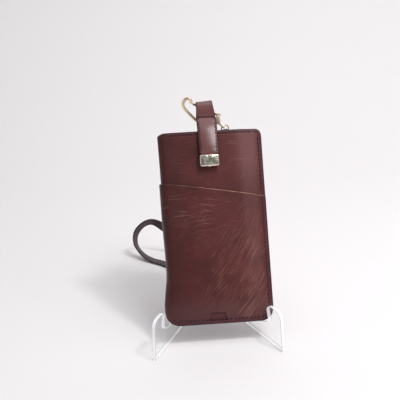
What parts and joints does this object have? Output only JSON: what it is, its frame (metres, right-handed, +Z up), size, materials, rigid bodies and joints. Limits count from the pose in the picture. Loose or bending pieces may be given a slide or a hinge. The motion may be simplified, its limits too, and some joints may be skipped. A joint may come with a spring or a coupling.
{
  "type": "phone bag on a display stand",
  "caption": "Flat leather phone bag with an outer pocket, a closing tab with a metal tip, a snap hook and a wrist strap, leaning on a clear bent stand.",
  "frame": {"origin": "centre of the stand's footprint, on the table", "axes": "+Z up, -Y towards the viewer in front of the bag, +X to that viewer's right"},
  "size_m": [0.1436, 0.2523, 0.2204],
  "materials": {
    "leather": "semi-gloss waxed leather with fine scratches",
    "dark_leather": "smooth dark leather",
    "pale_gold": "polished",
    "clear_plastic": "clear and glossy"
  },
  "bodies": {
    "bag": {"body_sleeve": "leather", "front_pocket": "leather", "closure_tab": "leather", "tab_tip": "pale_gold", "snap_button": "pale_gold", "snap_hook": "pale_gold", "swivel_eye": "pale_gold", "hook_ring": "pale_gold", "strap_end": "dark_leather", "strap": "dark_leather", "stand": "clear_plastic"},
    "gate": {"hook_gate": "pale_gold"}
  },
  "joints": [
    {"name": "gate_hinge", "type": "hinge", "parent": "bag", "child": "gate", "pos_m": [0.0157, 0.04029, 0.20159], "axis": [-0.2978, -0.9315, -0.2088], "range_deg": [0, 8], "stiffness_Nm_per_rad": 0.05, "springref_deg": -28.65}
  ]
}
